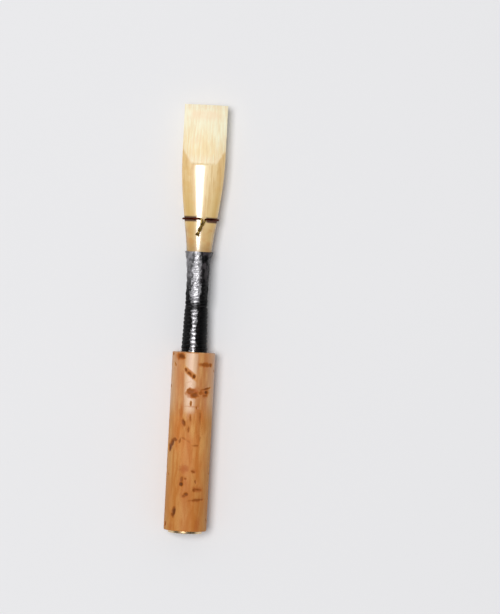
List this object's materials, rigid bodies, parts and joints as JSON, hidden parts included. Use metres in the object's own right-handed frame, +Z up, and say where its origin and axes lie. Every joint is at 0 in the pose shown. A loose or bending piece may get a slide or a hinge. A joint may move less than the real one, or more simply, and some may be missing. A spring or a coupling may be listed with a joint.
{
  "type": "oboe reed",
  "caption": "Double reed: two scraped cane blades bound with lacquered thread and a wire onto a corked metal tube.",
  "frame": {"origin": "on the surface the reed lies on, under the middle of its length", "axes": "+Y from the cork end to the tip of the blades, +Z up through the upper blade, +X across the blades"},
  "size_m": [0.0072, 0.0704, 0.007],
  "materials": {
    "staple_metal": "drawn brass tube, polished",
    "cork": "sanded natural cork with dark pores, lightly waxed",
    "cane": "glossy bark below, bare scraped cane towards the tip",
    "lacquered_thread": "black thread under clear glossy lacquer",
    "wire_brass": "soft brass wire, darkened"
  },
  "bodies": {
    "tied_staple": {"staple_tube": "staple_metal", "cork_sleeve": "cork", "thread_underlay": "lacquered_thread", "thread_winding": "lacquered_thread", "blade_wire": "wire_brass"},
    "upper_cane": {"upper_blade": "cane"},
    "lower_cane": {"lower_blade": "cane"}
  },
  "joints": [
    {"name": "upper_blade_closing", "type": "hinge", "parent": "tied_staple", "child": "upper_cane", "pos_m": [0, 0.011, 0.00352], "axis": [-1, 0, 0], "range_deg": [0, 0.28], "stiffness_Nm_per_rad": 0.7},
    {"name": "lower_blade_closing", "type": "hinge", "parent": "tied_staple", "child": "lower_cane", "pos_m": [0, 0.011, 0.00352], "axis": [1, 0, 0], "range_deg": [0, 0.28], "stiffness_Nm_per_rad": 0.7}
  ]
}
